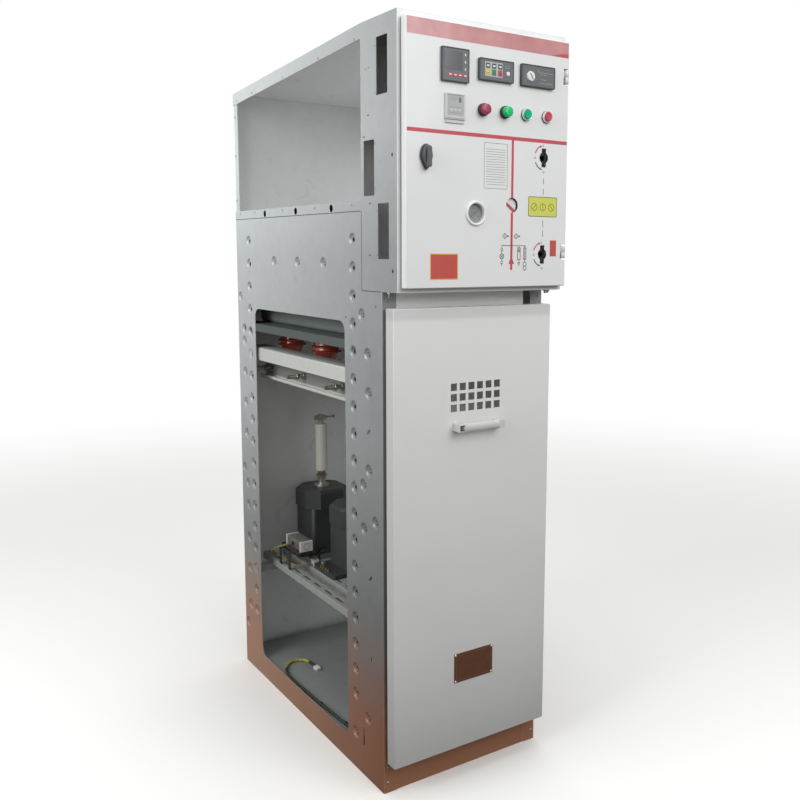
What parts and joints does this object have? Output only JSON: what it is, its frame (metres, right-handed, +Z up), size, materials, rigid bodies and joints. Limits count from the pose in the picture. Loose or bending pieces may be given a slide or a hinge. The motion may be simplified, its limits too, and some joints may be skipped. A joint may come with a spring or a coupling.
{
  "type": "ring main unit",
  "caption": "Metal-enclosed ring main unit cubicle with a hinged instrument door, a lift-off cable compartment cover and open side windows onto the busbar and cable spaces.",
  "frame": {"origin": "centre of the bounding box on the floor", "axes": "+Z up, the front with the instrument door looks towards -Y, +X to the right of someone facing it"},
  "size_m": [0.5, 1.07, 1.945],
  "materials": {
    "bushing_red": "gloss",
    "cap_green": "gloss",
    "cap_red": "gloss",
    "collar_metal": "polished ring",
    "connector_white": "moulded",
    "controller_grey": "satin",
    "galvanised_sheet": "satin zinc coated",
    "gasket_rubber": "matte",
    "gauge_ring": "gloss",
    "handle_grey": "semi-gloss",
    "heater_aluminium": "extruded",
    "indicator_white": "satin",
    "instrument_black": "fine texture",
    "lead_yellow": "satin insulation",
    "lens_green": "gloss",
    "lens_red": "gloss",
    "lock_grey": "satin",
    "plate_brown": "satin",
    "post_white": "gloss",
    "resin_black": "cast resin",
    "shaft_black": "satin",
    "sleeve_black": "braided sleeve",
    "tank_grey": "satin",
    "white_paint": "semi-gloss powder coat",
    "zinc_fasteners": "zinc plated"
  },
  "bodies": {
    "cabinet": {"base_front_rail": "galvanised_sheet", "base_rear_rail": "galvanised_sheet", "beam_studs": "zinc_fasteners", "box_back": "galvanised_sheet", "box_bottom": "galvanised_sheet", "box_front_frame": "white_paint", "box_left_side": "galvanised_sheet", "box_right_side": "galvanised_sheet", "box_top": "galvanised_sheet", "busbar_floor": "galvanised_sheet", "cable_rails": "galvanised_sheet", "current_transformer_1": "resin_black", "current_transformer_2": "resin_black", "current_transformer_3": "resin_black", "door_gasket": "gasket_rubber", "floor_plate": "galvanised_sheet", "frame_studs": "zinc_fasteners", "front_crossmember": "galvanised_sheet", "heater": "heater_aluminium", "heater_feet": "galvanised_sheet", "heater_lead": "lead_yellow", "hinge_bases": "white_paint", "left_side_wall": "galvanised_sheet", "loom_connector": "connector_white", "mechanism_plate": "galvanised_sheet", "phase_bushings": "bushing_red", "post_insulator_1": "post_white", "post_insulator_2": "post_white", "post_insulator_3": "post_white", "rail_crossbars": "galvanised_sheet", "rear_wall": "galvanised_sheet", "right_side_wall": "galvanised_sheet", "roof_panel": "galvanised_sheet", "support_beam": "galvanised_sheet", "switch_tank": "tank_grey", "tank_angles": "galvanised_sheet", "upper_rear_wall": "galvanised_sheet", "upper_right_wall": "galvanised_sheet", "wiring_loom": "sleeve_black"},
    "instrument_door": {"instrument_door": "white_paint", "hinge_knuckles": "white_paint", "power_meter": "instrument_black", "live_display": "instrument_black", "fault_indicator": "instrument_black", "humidity_controller": "controller_grey", "lamp_red": "lens_red", "lamp_green": "lens_green", "button_collars": "collar_metal", "gas_gauge": "gauge_ring", "lock_plate": "lock_grey"},
    "lock": {"lock_grip": "lock_grey"},
    "green_button": {"button_green": "cap_green"},
    "red_button": {"button_red": "cap_red"},
    "front_cover": {"front_cover": "white_paint", "cover_hooks": "galvanised_sheet", "cover_handle": "handle_grey", "cover_plate": "plate_brown"},
    "load_switch_shaft": {"load_switch_shaft": "shaft_black"},
    "earth_switch_shaft": {"earth_switch_shaft": "shaft_black"},
    "position_indicator": {"position_indicator": "indicator_white"}
  },
  "joints": [
    {"name": "door_swing", "type": "hinge", "parent": "cabinet", "child": "instrument_door", "pos_m": [0.238, -0.509, 1.621], "axis": [0, 0, 1], "range_deg": [0, 110]},
    {"name": "lock_turn", "type": "hinge", "parent": "instrument_door", "child": "lock", "pos_m": [-0.188, -0.52, 1.618], "axis": [0, 1, 0], "range_deg": [0, 90]},
    {"name": "green_press", "type": "slide", "parent": "instrument_door", "child": "green_button", "axis": [0, 1, 0], "range_m": [0, 0.004], "stiffness_N_per_m": 600, "springref_m": -0.002},
    {"name": "red_press", "type": "slide", "parent": "instrument_door", "child": "red_button", "axis": [0, 1, 0], "range_m": [0, 0.004], "stiffness_N_per_m": 600, "springref_m": -0.002},
    {"name": "cover_lift", "type": "slide", "parent": "cabinet", "child": "front_cover", "axis": [0, 0, 1], "range_m": [0, 0.022]},
    {"name": "load_switch_turn", "type": "hinge", "parent": "cabinet", "child": "load_switch_shaft", "pos_m": [0.167, -0.48, 1.637], "axis": [0, 1, 0], "range_deg": [0, 90]},
    {"name": "earth_switch_turn", "type": "hinge", "parent": "cabinet", "child": "earth_switch_shaft", "pos_m": [0.167, -0.48, 1.395], "axis": [0, 1, 0], "range_deg": [0, 90]},
    {"name": "indicator_turn", "type": "hinge", "parent": "cabinet", "child": "position_indicator", "pos_m": [0.067, -0.48, 1.516], "axis": [0, 1, 0], "range_deg": [0, 90]}
  ],
  "couplings": [
    {"joint": "indicator_turn", "follows": "load_switch_turn", "ratio": 1}
  ]
}
